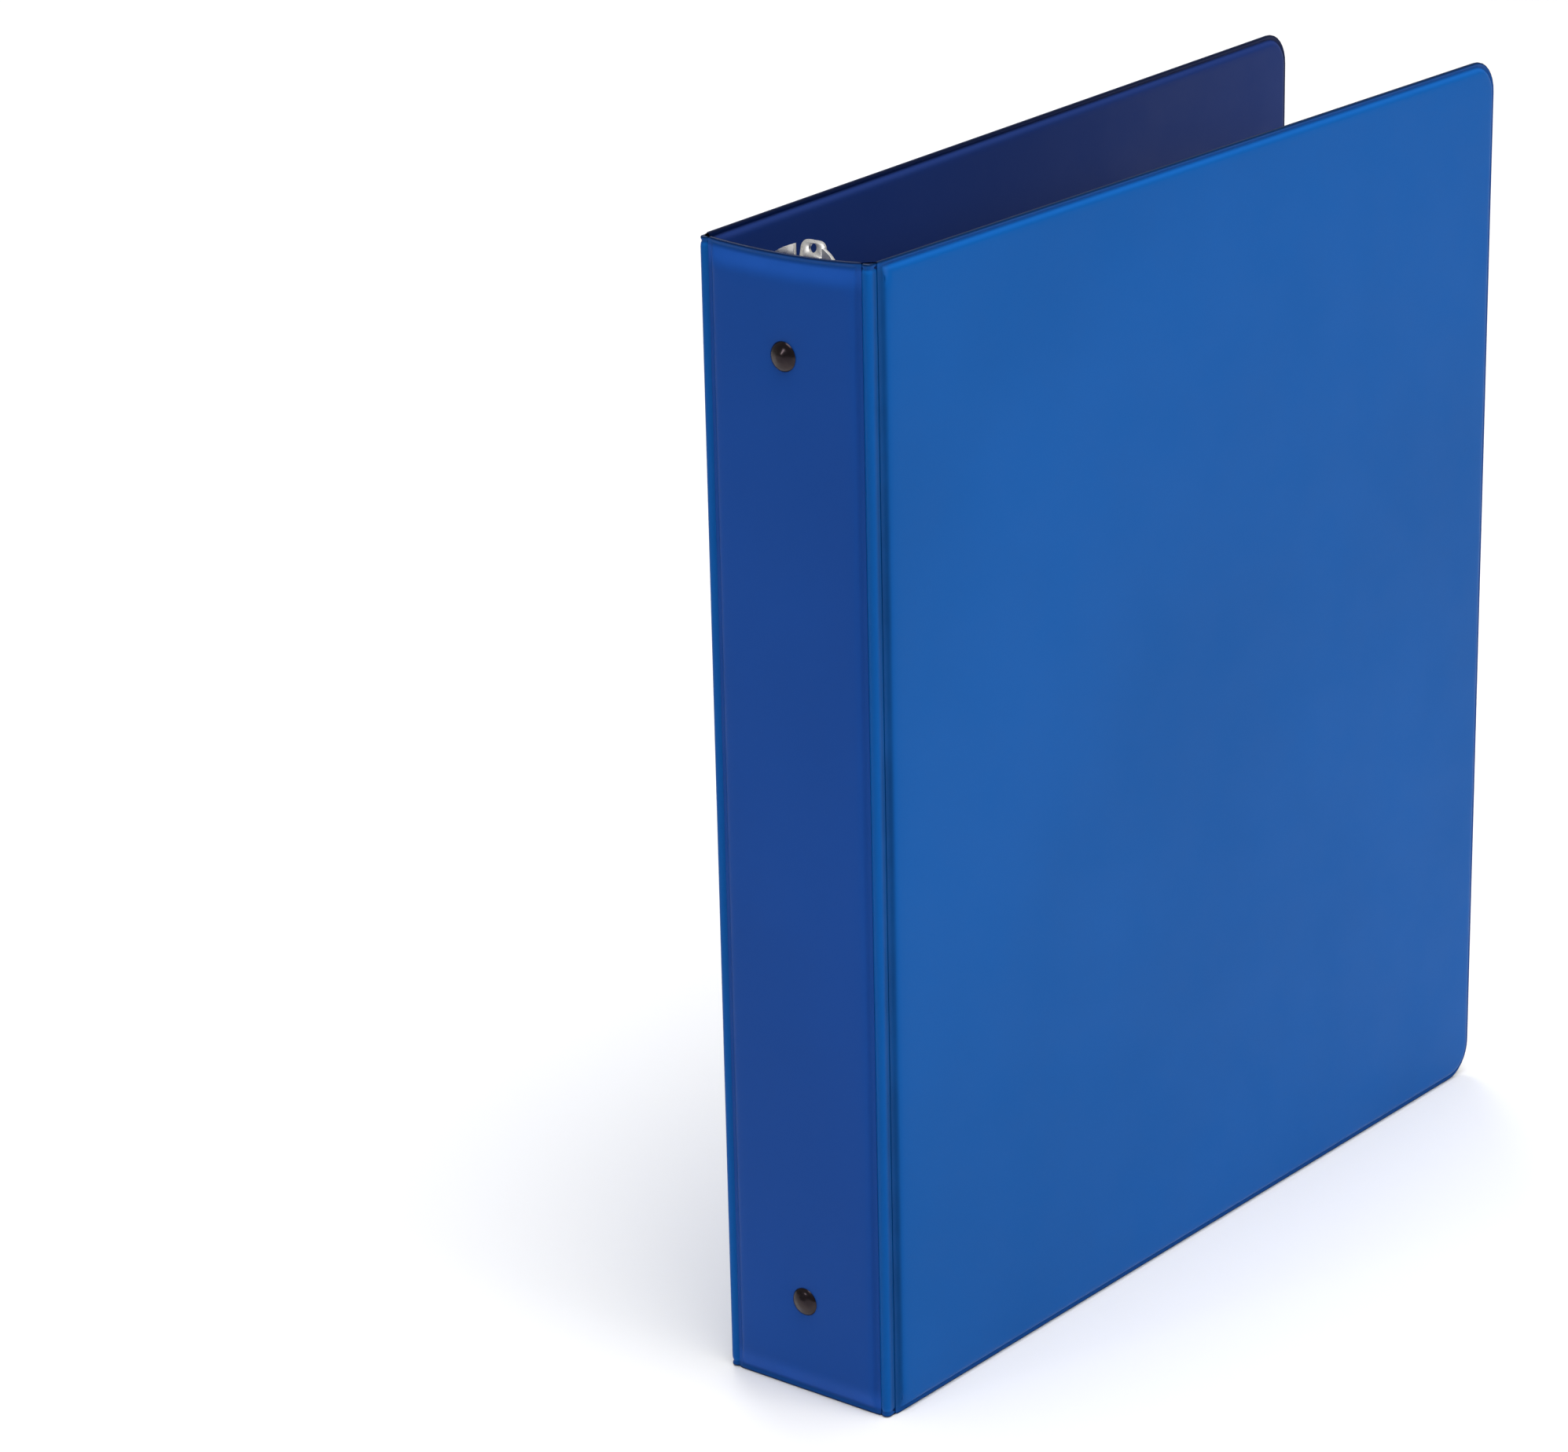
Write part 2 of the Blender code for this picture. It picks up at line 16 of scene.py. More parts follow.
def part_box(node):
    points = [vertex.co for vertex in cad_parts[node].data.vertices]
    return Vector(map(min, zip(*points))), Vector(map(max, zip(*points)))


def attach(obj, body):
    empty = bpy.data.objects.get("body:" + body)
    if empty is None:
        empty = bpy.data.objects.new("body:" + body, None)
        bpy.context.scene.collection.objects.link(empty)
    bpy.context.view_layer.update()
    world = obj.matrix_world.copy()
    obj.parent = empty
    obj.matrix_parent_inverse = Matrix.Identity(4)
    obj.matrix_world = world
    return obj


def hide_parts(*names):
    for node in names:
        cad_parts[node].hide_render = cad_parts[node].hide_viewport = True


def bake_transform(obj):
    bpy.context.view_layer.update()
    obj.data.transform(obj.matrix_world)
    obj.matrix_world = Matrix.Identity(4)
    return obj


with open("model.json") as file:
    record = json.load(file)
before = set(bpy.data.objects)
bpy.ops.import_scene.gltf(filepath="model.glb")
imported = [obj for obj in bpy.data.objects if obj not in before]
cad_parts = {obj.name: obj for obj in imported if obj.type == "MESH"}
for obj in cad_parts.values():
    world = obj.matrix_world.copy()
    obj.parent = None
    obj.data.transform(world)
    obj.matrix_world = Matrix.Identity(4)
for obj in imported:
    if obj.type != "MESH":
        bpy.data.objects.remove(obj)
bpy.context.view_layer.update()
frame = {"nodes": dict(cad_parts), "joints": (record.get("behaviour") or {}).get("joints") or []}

MM = 0.001
FRONT, BACK = -1, 1
TOP, BOTTOM = 1, -1
OUTWARDS, INWARDS = 1, -1
SIDES = ((FRONT, "front"), (BACK, "back"))
ENDS = ((TOP, "top"), (BOTTOM, "bottom"))

# The frame's own places
SPINE_LOW, SPINE_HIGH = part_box("spine_outer_vinyl")
SPINE_X = SPINE_LOW.x
SPINE_HALF = SPINE_HIGH.y
HEIGHT = SPINE_HIGH.z
JOINTS = {joint["name"]: joint for joint in frame["joints"]}
HINGE_AXIS = Vector(JOINTS["back_cover_hinge"]["pos_m"]) - Vector((SPINE_X, 0, 0))
PLATE_AXIS = Vector(JOINTS["ring_opening"]["pos_m"]) - Vector((SPINE_X, 0, 0))

# Case, as in the CAD
PANEL_HALF = 1.5 * MM
HINGE_LEG = 3.8 * MM             # what each corner hinge takes off the spine and the cover
HINGE_REACH = 2.45 * MM          # hinge axis to a cover's near edge
COVER_END = 265.65 * MM          # hinge axis to a cover's fore edge
COVER_OFFSET = -0.15 * MM        # hinge axis to the middle of a cover's board
SPLAY = math.radians(1.75)
CORNER_RADIUS = 9.5 * MM
HINGE_CORNER = 0.8 * MM
SPINE_SAG = 1.0 * MM             # dip of the spine's top edge between the covers
SAG_REACH = 22 * MM

# Height of a skin over the weld plane at distances in from an edge, in mm: a bead at the cut edge,
# the welded groove, then the shoulder up to the face
COVER_EDGE = ((0, 0.10), (0.02, 0.30), (0.15, 0.48), (0.45, 0.55), (0.8, 0.46), (1.0, 0.30),
              (1.3, 0.28), (1.5, 0.48), (1.75, 0.85), (2.1, 1.2), (2.5, 1.4), (3.1, 1.48),
              (4.2, 1.5), (9.5, 1.5))
SPINE_EDGE = ((0, 0.10), (0.02, 0.30), (0.15, 0.48), (0.45, 0.55), (0.8, 0.46), (1.0, 0.30),
              (1.3, 0.28), (1.7, 0.40), (2.7, 0.67), (3.8, 0.96), (4.9, 1.22), (5.8, 1.37),
              (7.2, 1.47), (9.5, 1.5))
OUTER_HINGE = ((0, 0.25), (0.2, 0.28), (0.5, 0.30), (0.85, 0.34), (1.15, 0.44), (1.4, 0.70),
               (1.65, 0.98), (1.9, 1.15), (2.3, 1.28), (2.8, 1.38), (3.4, 1.44), (4.2, 1.48),
               (5.5, 1.5), (8.0, 1.5))
INNER_HINGE = ((0, 0.15), (0.15, 0.2), (0.35, 0.3), (0.6, 0.5), (0.9, 0.75), (1.2, 0.97),
               (1.5, 1.14), (1.9, 1.29), (2.3, 1.39), (2.8, 1.46), (3.4, 1.49), (4.2, 1.5),
               (5.5, 1.5), (8.0, 1.5))
COVER_UNDERSIDE = ((0, 0, 0.03), (1.9, 1.55, 0.03), (3.9, 1.9, 1.0))  # from open edges, hinges; height
SPINE_UNDERSIDE = ((0, 0, 0.03), (1.9, 1.55, 0.03), (6.2, 1.9, 1.0))
HINGE_SHADE_WIDTH = 1.2 * MM            # of the painted shade beside a hinge
HINGE_SHADE_FADE = 1.3 * MM
SPINE_HINGE_SHADE = 0.15                # how dark the painted shade is on the spine, where a cover's is 1
RIM_FADE = (1.1, 1.7)            # where the rim colour ends, in mm from the edge; the flange's own darker vinyl, partly painted shade in its groove
OUTLINE_FADE = (0.2, 0.6)        # where the dark line along the cut edge ends
SHOULDER_WIDTH = 4 * MM          # no ripple or pillow nearer to an edge than this
PILLOW = 0.12 * MM
PILLOW_REACH = 18 * MM
RIPPLE = 0.045 * MM
RIPPLE_FADE = 10 * MM
SPINE_CELLS = (24, 118)          # across and up a panel's face
COVER_CELLS = (50, 56)
CORNER_CELLS = 8

# Hinge strips: the profile's angles are in degrees from the spine's side, its radii in mm
STRIP_PROFILE = ((-4, 2.36), (0, 2.46), (5, 2.66), (12, 2.98), (20, 3.26), (30, 3.46), (40, 3.48),
                 (48, 3.38), (56, 3.12), (64, 2.84), (74, 2.62), (84, 2.5), (94, 2.40))
STRIP_INNER = 2.2 * MM
STRIP_SHADE = 0.8                 # how dark the painted shade on its side by the cover is
STRIP_SHADE_START = math.radians(46)
STRIP_SHADE_FADE = math.radians(22)
STRIP_TUCK = math.radians(4)
STRIP_END = 0.15 * MM
# How far the strip's outer side sinks at distances from its ends, in mm
STRIP_WELD = ((0, 0.45), (0.1, 0.2), (0.25, 0.1), (0.45, 0.07), (0.8, 0.14), (1.0, 0.3), (1.3, 0.3),
              (1.6, 0.16), (2.0, 0.06), (2.6, 0))
STRIP_CELLS = 30
STRIP_ROWS = 60

# Pockets
POCKET_START = 40 * MM
POCKET_MARGIN = 5 * MM
POCKET_HEIGHT = 140 * MM
POCKET_CORNER = 4.5 * MM
POCKET_SHEET = 0.25 * MM
POCKET_STEP = 5 * MM
# How far the sheet stands off at distances in from its welded edges, in mm
POCKET_WELD = ((0, 0.02), (0.3, 0.10), (0.8, 0.03), (1.3, 0.03), (1.8, 0.12), (3.0, 0.22), (8.0, 0.25))
POCKET_GAP = 0.02 * MM
POCKET_GRID_START = 12 * MM      # from a weld or the mouth to the even rows
POCKET_GRID_END = 10 * MM
POCKET_HEM_ROWS = (8.6, 8.0, 7.5, 7.0, 6.5, 6.0, 5.4, 3.0, 1.2, 0.5, 0.2, 0)  # mm below the mouth
POCKET_BULGE = 0.9 * MM
POCKET_BULGE_REACH = 20 * MM
POCKET_BOW_START = 25 * MM       # above the lower weld
POCKET_HEM = 7 * MM
POCKET_CREASE_WIDTH = 0.45 * MM
POCKET_CREASE_DEPTH = 0.1 * MM
POCKET_CORNER_SLANT = 0.3
POCKET_EDGE = 10                 # added to the edge distance, so that the rim's finish stays off

# Ring mechanism, as in the CAD
RING_SPACING = 107.95 * MM
RING_CENTRE_X = 23.4 * MM
RING_RADIUS = 17.8 * MM
RING_WIRE = 1.3 * MM
RING_BEND_ANGLE = math.radians(146)
RING_BEND_RADIUS = 2 * MM
RING_LAP = math.radians(3.2)     # each tip's half-thick tongue reaches this far past the middle
RING_LAP_GAP = 0.03 * MM
RING_TIP_SHARE = 0.86            # of the wire's radius, at the tip's very end
RING_TIP_TURNS = (0.012, 0.02)   # how far short of the lap its end is narrow, then full, in radians
RING_FOOT_SINK = 0.2 * MM
PLATE_TILT = math.radians(5)
PLATE_HALF = 0.55 * MM
HOUSING_SHEET = 0.9 * MM
HOUSING_END = 0.6 * MM
HOUSING_END_RADIUS = 15 * MM
HOUSING_END_SWEEP = math.radians(62)
HOUSING_CENTRE_X = -8.22 * MM
HOUSING_RADIUS = 19.37 * MM
HOUSING_WALL_Y = 11.75 * MM
HOUSING_ARCH_Y = 10.4 * MM
HOUSING_FOOT_BEND = 0.7 * MM
HOUSING_SHOULDER_BEND = 1.4 * MM
HOUSING_FOOT_X = 3.75 * MM
HOUSING_LIP_Y = 9.4 * MM
SLOT_INNER = 6.4 * MM
SLOT_HALF = 2.1 * MM
SLOT_FLOOR = 6.9 * MM
NOTCH_HALF = 4.1 * MM
NOTCH_DEPTH = 13.5 * MM
NOTCH_CORNER = 1.6 * MM
EDGE_ROUNDING = 0.14 * MM
CUT_REACH = 30 * MM

# Levers, in x and distance from the binder's end, in mm
LEVER_PATH = ((3.8, 22.0), (3.8, 13.6), (9.6, 10.9), (12.0, 4.3), (13.0, 0.3))
LEVER_BENDS = (1.6, 1.6, 1.2)
LEVER_SHEET = 0.9 * MM
LEVER_HALF_WIDTH = 3.5 * MM
LEVER_FOOT = ((0, 0.8), (0.3, 0.3), (0.8, 0))   # distance along the lever, and how much narrower
LEVER_LUG_AT = 12 * MM
LEVER_LUG_HALF_WIDTH = 6.4 * MM
LEVER_LUG_HALF_LENGTH = 0.8 * MM
LEVER_LUG_SLOPE = 0.25 * MM
LEVER_TIP_RADIUS = 2.1 * MM
LEVER_HOLE = 1.15 * MM
LEVER_HOLE_INSET = 1.9 * MM
LEVER_HOLE_REACH = 3 * MM

# Rivets: radius and x, in mm, from the crown of the head to the tail
RIVET_INSET = 25.4 * MM
RIVET_HEAD = ((0, -1.5), (0.4, -1.49), (0.8, -1.45), (1.1, -1.37), (1.5, -1.23), (2.0, -1.05),
              (2.5, -0.87), (2.9, -0.68), (3.3, -0.42), (3.55, -0.15), (3.68, 0.04), (3.5, 0.1),
              (1.9, 0.12))
RIVET_TAIL = ((1.9, 11.2), (2.7, 11.3), (2.95, 11.55), (2.9, 11.85), (2.5, 12.15), (1.6, 12.4),
              (0.9, 12.28), (0, 12.2))
RIVET_DIMPLE = 0.4 * MM
RIVET_DIMPLE_REACH = 4.9 * MM

# Fineness of rounds
ROUND_SIDES = 48
WIRE_SIDES = 24
FILLET_STEPS = 6


# ---------------------------------------------------------------- materials

def node(tree, kind, inputs=(), **settings):
    """Adds a shader node; an input given as another node's socket is wired, and other values are set."""
    made = tree.nodes.new("ShaderNode" + kind)
    for key, value in settings.items():
        setattr(made, key, value)
    for key, value in dict(inputs).items():
        if isinstance(value, bpy.types.NodeSocket):
            tree.links.new(value, made.inputs[key])
        else:
            made.inputs[key].default_value = value
    return made


def start_material(name, **uniform):
    """A Principled material and its tree, with the values that are the same all over it."""
    material = bpy.data.materials.new(name)
    material.use_nodes = True
    tree = material.node_tree
    shader = tree.nodes["Principled BSDF"]
    for key, value in uniform.items():
        shader.inputs[key.replace("_", " ").title().replace("Ior", "IOR")].default_value = value
    return material, tree, shader


def object_place(tree, stretch=(1, 1, 1)):
    place = node(tree, "TexCoord").outputs["Object"]
    return node(tree, "Mapping", {"Vector": place, "Scale": stretch}).outputs["Vector"]


def noise(tree, place, scale, detail=2.0, roughness=0.5):
    made = node(tree, "TexNoise", {"Vector": place, "Scale": scale, "Detail": detail,
                                   "Roughness": roughness})
    return made.outputs[0]


def ranged(tree, value, from_low, from_high, to_low, to_high):
    made = node(tree, "MapRange", {"Value": value, "From Min": from_low, "From Max": from_high,
                                   "To Min": to_low, "To Max": to_high},
                interpolation_type="SMOOTHSTEP")
    return made.outputs["Result"]


def mixed(tree, factor, first, second):
    """A colour between two others, each given as three numbers or as a socket."""
    inputs = {0: factor}
    for index, colour in ((6, first), (7, second)):
        inputs[index] = colour if isinstance(colour, bpy.types.NodeSocket) else (*colour, 1)
    return node(tree, "Mix", inputs, data_type="RGBA").outputs[2]


def multiplied(tree, first, second):
    return node(tree, "Math", {0: first, 1: second}, operation="MULTIPLY").outputs[0]


def bumps(tree, layers):
    """Bump nodes in a chain, one for each (height, depth in metres, strength)."""
    normal = None
    for height, depth, strength in layers:
        inputs = {"Height": height, "Distance": depth, "Strength": strength}
        if normal is not None:
            inputs["Normal"] = normal
        normal = node(tree, "Bump", inputs).outputs["Normal"]
    return normal


def shade(colour, factor):
    return tuple(channel * factor for channel in colour)


def vinyl_material(name, colour, rim_colour, roughness, specular, grain_depth,
                   shoulder_band=(1.7, 2.0, 0.7, 1.3)):
    """Calendered vinyl: faint mottle, fine grain, slow ripples, a darker rim colour over the welded
    flange that is partly painted shade, a dark line along the cut edge, painted shade along the
    hinges, and a paler band on the shoulder, partly stretched vinyl and partly painted light where
    the shoulder faces the lamps, given as the band's start and end in mm from the edge, the softness
    of its end and its paleness."""
    material, tree, shader = start_material(name, specular_ior_level=specular)
    place = object_place(tree)
    mottle = noise(tree, place, 9, 3)
    cloud = noise(tree, place, 60, 3)
    grain = noise(tree, place, 1300, 3, 0.6)
    peel = noise(tree, place, 330, 2)
    ripple = noise(tree, place, 24, 1)
    edge = node(tree, "Attribute", attribute_name="edge_distance").outputs["Fac"]
    body = mixed(tree, ranged(tree, mottle, 0.3, 0.7, 0, 1), shade(colour, 0.95), shade(colour, 1.05))
    start, end, softness, paleness = shoulder_band
    # the shoulder band: partly stretched vinyl, partly painted light where the shoulder faces the lamps
    band = multiplied(tree, ranged(tree, edge, start - 0.4, start + 0.4, 0, 1),
                      ranged(tree, edge, end - softness, end + softness, 1, 0))
    band = multiplied(tree, band, ranged(tree, cloud, 0.2, 0.7, 0.7, 1.0))
    body = mixed(tree, band, body, tuple(paleness * channel + 0.004 for channel in colour))
    # painted shade beside the hinges and on the hinge strips' side by the cover, read from an attribute
    seam = node(tree, "Attribute", attribute_name="seam").outputs["Fac"]
    # a dark colour for the line along the cut edge, also used for the painted shade beside the hinges
    dark_edge_and_shade_colour = shade(colour, 0.15)
    body = mixed(tree, multiplied(tree, seam, ranged(tree, cloud, 0.2, 0.8, 0.4, 0.6)), body, dark_edge_and_shade_colour)
    # the rim colour: the welded flange's own darker vinyl, with painted shade in its groove
    body = mixed(tree, ranged(tree, edge, *RIM_FADE, 0.9, 0), body, rim_colour)
    body = mixed(tree, ranged(tree, edge, *OUTLINE_FADE, 0.9, 0), body, dark_edge_and_shade_colour)
    tree.links.new(body, shader.inputs["Base Color"])
    tree.links.new(ranged(tree, cloud, 0.3, 0.7, roughness - 0.04, roughness + 0.06),
                   shader.inputs["Roughness"])
    normal = bumps(tree, ((ripple, 0.25 * MM, 0.25), (peel, 0.02 * MM, 0.35), (grain, grain_depth, 0.5)))
    tree.links.new(normal, shader.inputs["Normal"])
    return material


def metal_material(name, dark, light, roughness, scratch, metallic=1.0):
    """Plated metal with fine drawing lines, a slight cloudiness and rubbed patches."""
    material, tree, shader = start_material(name, metallic=metallic)
    place = object_place(tree)
    lines = noise(tree, object_place(tree, (1, 1, 0.04)), 1700, 3, 0.6)
    cloud = noise(tree, place, 120, 3)
    pits = noise(tree, place, 900, 4, 0.65)
    rubbed = ranged(tree, cloud, 0.35, 0.7, 0, 1)
    tree.links.new(mixed(tree, rubbed, dark, light), shader.inputs["Base Color"])
    tree.links.new(ranged(tree, pits, 0.3, 0.75, roughness * 0.85, roughness * 1.3),
                   shader.inputs["Roughness"])
    normal = bumps(tree, ((lines, 0.004 * MM, scratch), (pits, 0.006 * MM, scratch)))
    tree.links.new(normal, shader.inputs["Normal"])
    return material


def card_material():
    """Grey chipboard with pressed fibres and flecks."""
    material, tree, shader = start_material("grey_chipboard", specular_ior_level=0.2)
    place = object_place(tree, (1, 1, 0.3))
    fibres = noise(tree, place, 700, 4, 0.7)
    flecks = ranged(tree, noise(tree, place, 420, 1), 0.68, 0.74, 0, 1)
    body = mixed(tree, fibres, (0.17, 0.15, 0.125), (0.33, 0.30, 0.25))
    body = mixed(tree, flecks, body, (0.06, 0.05, 0.045))
    tree.links.new(body, shader.inputs["Base Color"])
    tree.links.new(ranged(tree, fibres, 0.2, 0.8, 0.8, 0.95), shader.inputs["Roughness"])
    tree.links.new(bumps(tree, ((fibres, 0.05 * MM, 0.6),)), shader.inputs["Normal"])
    return material


def floor_material():
    material, tree, shader = start_material("pale_floor", specular_ior_level=0.2)
    place = object_place(tree)
    cloud = noise(tree, place, 3, 3)
    grain = noise(tree, place, 500, 3)
    tree.links.new(mixed(tree, cloud, (0.90, 0.90, 0.905), (0.93, 0.93, 0.93)),
                   shader.inputs["Base Color"])
    tree.links.new(ranged(tree, grain, 0.3, 0.7, 0.6, 0.75), shader.inputs["Roughness"])
    return material


# ---------------------------------------------------------------- mesh helpers

def at(x, y, z):
    """A point in binder coordinates, placed in the frame."""
    return Vector((SPINE_X + x, y, z))


def smoothstep(value):
    value = min(max(value, 0.0), 1.0)
    return value * value * (3 - 2 * value)


def read_table(table, distance):
    """The height, in metres, that a table in mm gives at a distance in metres."""
    distances, heights = zip(*table)
    return float(np.interp(distance / MM, distances, heights)) * MM


def to_object(name, shape, materials, sharp_angle=40):
    """Closes a bmesh into a smooth-shaded object whose edges over an angle stay sharp."""
    bmesh.ops.remove_doubles(shape, verts=shape.verts, dist=1e-6)
    bmesh.ops.recalc_face_normals(shape, faces=shape.faces)
    mesh = bpy.data.meshes.new(name)
    shape.to_mesh(mesh)
    shape.free()
    for material in materials:
        mesh.materials.append(material)
    mesh.shade_smooth()
    mesh.set_sharp_from_angle(angle=math.radians(sharp_angle))
    made = bpy.data.objects.new(name, mesh)
    bpy.context.scene.collection.objects.link(made)
    return made


def join_rows(shape, rows, closed=True):
    """Quads between neighbouring rows of as many vertices."""
    faces = []
    for low, high in zip(rows, rows[1:]):
        for index in range(len(low) if closed else len(low) - 1):
            after = (index + 1) % len(low)
            faces.append(shape.faces.new((low[index], low[after], high[after], high[index])))
    return faces


def loft(name, loops, materials):
    """A closed body through loops of equally many points, capped at both ends."""
    shape = bmesh.new()
    rows = [[shape.verts.new(point) for point in loop] for loop in loops]
    join_rows(shape, rows)
    shape.faces.new(rows[0])
    shape.faces.new(rows[-1])
    return to_object(name, shape, materials)


def round_edges(item, width, least_angle):
    """Bevels the edges that turn by more than an angle in degrees."""
    bevel = item.modifiers.new("round", "BEVEL")
    bevel.width = width
    bevel.segments = 2
    bevel.limit_method = "ANGLE"
    bevel.angle_limit = math.radians(least_angle)


def carve(item, cutters, rounding):
    """Cuts bodies out of a piece, rounds its edges, and keeps the result as its mesh."""
    for cutter in cutters:
        modifier = item.modifiers.new("cut", "BOOLEAN")
        modifier.operation = "DIFFERENCE"
        modifier.solver = "EXACT"
        modifier.object = cutter
    round_edges(item, rounding, 40)
    bpy.context.view_layer.update()
    evaluated = item.evaluated_get(bpy.context.evaluated_depsgraph_get())
    mesh = bpy.data.meshes.new_from_object(evaluated)
    item.modifiers.clear()
    item.data = mesh
    mesh.shade_smooth()
    mesh.set_sharp_from_angle(angle=math.radians(40))
    for cutter in cutters:
        bpy.data.objects.remove(cutter, do_unlink=True)
    return item


def filleted(path, radii):
    """A polyline of 2-D points with its inner corners rounded off."""
    path = [Vector(point) for point in path]
    points = [path[0]]
    for before, corner, after, radius in zip(path, path[1:], path[2:], radii):
        entry = (before - corner).normalized()
        leave = (after - corner).normalized()
        half = entry.angle(leave) / 2
        centre = corner + (entry + leave).normalized() * (radius / math.sin(half))
        start = corner + entry * (radius / math.tan(half)) - centre
        end = corner + leave * (radius / math.tan(half)) - centre
        sweep = start.angle(end)
        for step in range(FILLET_STEPS + 1):
            share = step / FILLET_STEPS
            mix = start * math.sin((1 - share) * sweep) + end * math.sin(share * sweep)
            points.append(centre + mix / math.sin(sweep))
    points.append(path[-1])
    return points


def thickened(path, thickness):
    """The outline of a strip of sheet whose middle line is a 2-D path."""
    normals = []
    for index in range(len(path)):
        along = path[min(index + 1, len(path) - 1)] - path[max(index - 1, 0)]
        normals.append(Vector((-along.y, along.x)).normalized() * thickness / 2)
    left = [point + normal for point, normal in zip(path, normals)]
    right = [point - normal for point, normal in zip(path, normals)]
    return left + right[::-1]


def lathe(name, profile, z, material):
    """A solid of revolution about a line along x at a height, from (radius, x) pairs in mm."""
    shape = bmesh.new()
    rows = []
    for radius, x in profile:
        row = []
        for step in range(ROUND_SIDES):
            angle = 2 * math.pi * step / ROUND_SIDES
            point = at(x * MM, radius * MM * math.cos(angle), z + radius * MM * math.sin(angle))
            row.append(shape.verts.new(point))
        rows.append(row)
    join_rows(shape, rows)
    return to_object(name, shape, [material])


def dress(piece, cad_node, body):
    """Hides the CAD node that a piece stands for and attaches the piece to what it rides on."""
    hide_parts(cad_node)
    if body:
        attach(piece, body)


# ---------------------------------------------------------------- case

class Panel:
    """One flat panel of the case: its reach across, and how a point on it is placed in the frame."""

    def __init__(self, place, low, high, has_fore_edge, edge_table, underside, cells):
        self.place = place
        self.low = low
        self.high = high
        self.has_fore_edge = has_fore_edge
        self.edge_table = edge_table
        self.underside = underside
        self.cells = cells
        self.dimples = ()
        self.seam = 1.0              # how dark the painted shade beside a hinge is

    def edge_distance(self, u, z):
        """How far a point is inside the panel's open edges."""
        upright = min(z, HEIGHT - z)
        if not self.has_fore_edge:
            return upright
        across = self.high - u
        if across < CORNER_RADIUS and upright < CORNER_RADIUS:
            return CORNER_RADIUS - math.hypot(CORNER_RADIUS - across, CORNER_RADIUS - upright)
        return min(across, upright)

    def hinge_distance(self, u):
        return u - self.low if self.has_fore_edge else min(u - self.low, self.high - u)

    def outline(self, free, hinged):
        """Points (u, z) round the panel, drawn in by free at open edges and hinged at hinges."""
        far_inset, far_corner = (free, CORNER_RADIUS) if self.has_fore_edge else (hinged, HINGE_CORNER)
        low, high = self.low + hinged, self.high - far_inset
        near_radius, far_radius = max(HINGE_CORNER - free, 0), max(far_corner - free, 0)
        corners = ((low, free, 1, 1, near_radius), (high, free, -1, 1, far_radius),
                   (high, HEIGHT - free, -1, -1, far_radius), (low, HEIGHT - free, 1, -1, near_radius))
        arcs = []
        for index, (u, z, inward_u, inward_z, radius) in enumerate(corners):
            centre_u, centre_z = u + inward_u * radius, z + inward_z * radius
            angles = [math.radians(180 + 90 * index + 90 * step / CORNER_CELLS)
                      for step in range(CORNER_CELLS + 1)]
            arcs.append([(centre_u + radius * math.cos(a), centre_z + radius * math.sin(a))
                         for a in angles])
        points = []
        for index, arc in enumerate(arcs):
            count = self.cells[index % 2]
            (u0, z0), (u1, z1) = arc[-1], arcs[(index + 1) % 4][0]
            points += arc
            points += [(u0 + (u1 - u0) * step / count, z0 + (z1 - z0) * step / count)
                       for step in range(1, count)]
        return points


def ripple_at(u, z):
    """A slow unevenness of vinyl drawn over board, between -1 and 1."""
    wave = math.sin(u / 0.021 + z / 0.047 + 0.6) + math.sin(z / 0.029 - u / 0.052 + 2.1)
    return (wave + math.sin(u / 0.083 + 1.4) * math.sin(z / 0.061)) / 3


def skin_height(panel, hinge_table, u, z, lively):
    """Height of a skin's surface over the weld plane."""
    edge, hinge = panel.edge_distance(u, z), panel.hinge_distance(u)
    height = min(read_table(panel.edge_table, edge), read_table(hinge_table, hinge))
    inside = min(edge, hinge)
    past_shoulder = inside - SHOULDER_WIDTH
    height += lively * smoothstep(past_shoulder / RIPPLE_FADE) * RIPPLE * ripple_at(u, z)
    height += lively * PILLOW * (1 - math.exp(-max(past_shoulder, 0) / PILLOW_REACH))
    for centre_u, centre_z in panel.dimples:
        reach = math.hypot(u - centre_u, z - centre_z) / RIVET_DIMPLE_REACH
        height -= lively * RIVET_DIMPLE * math.exp(-reach * reach)
    return height


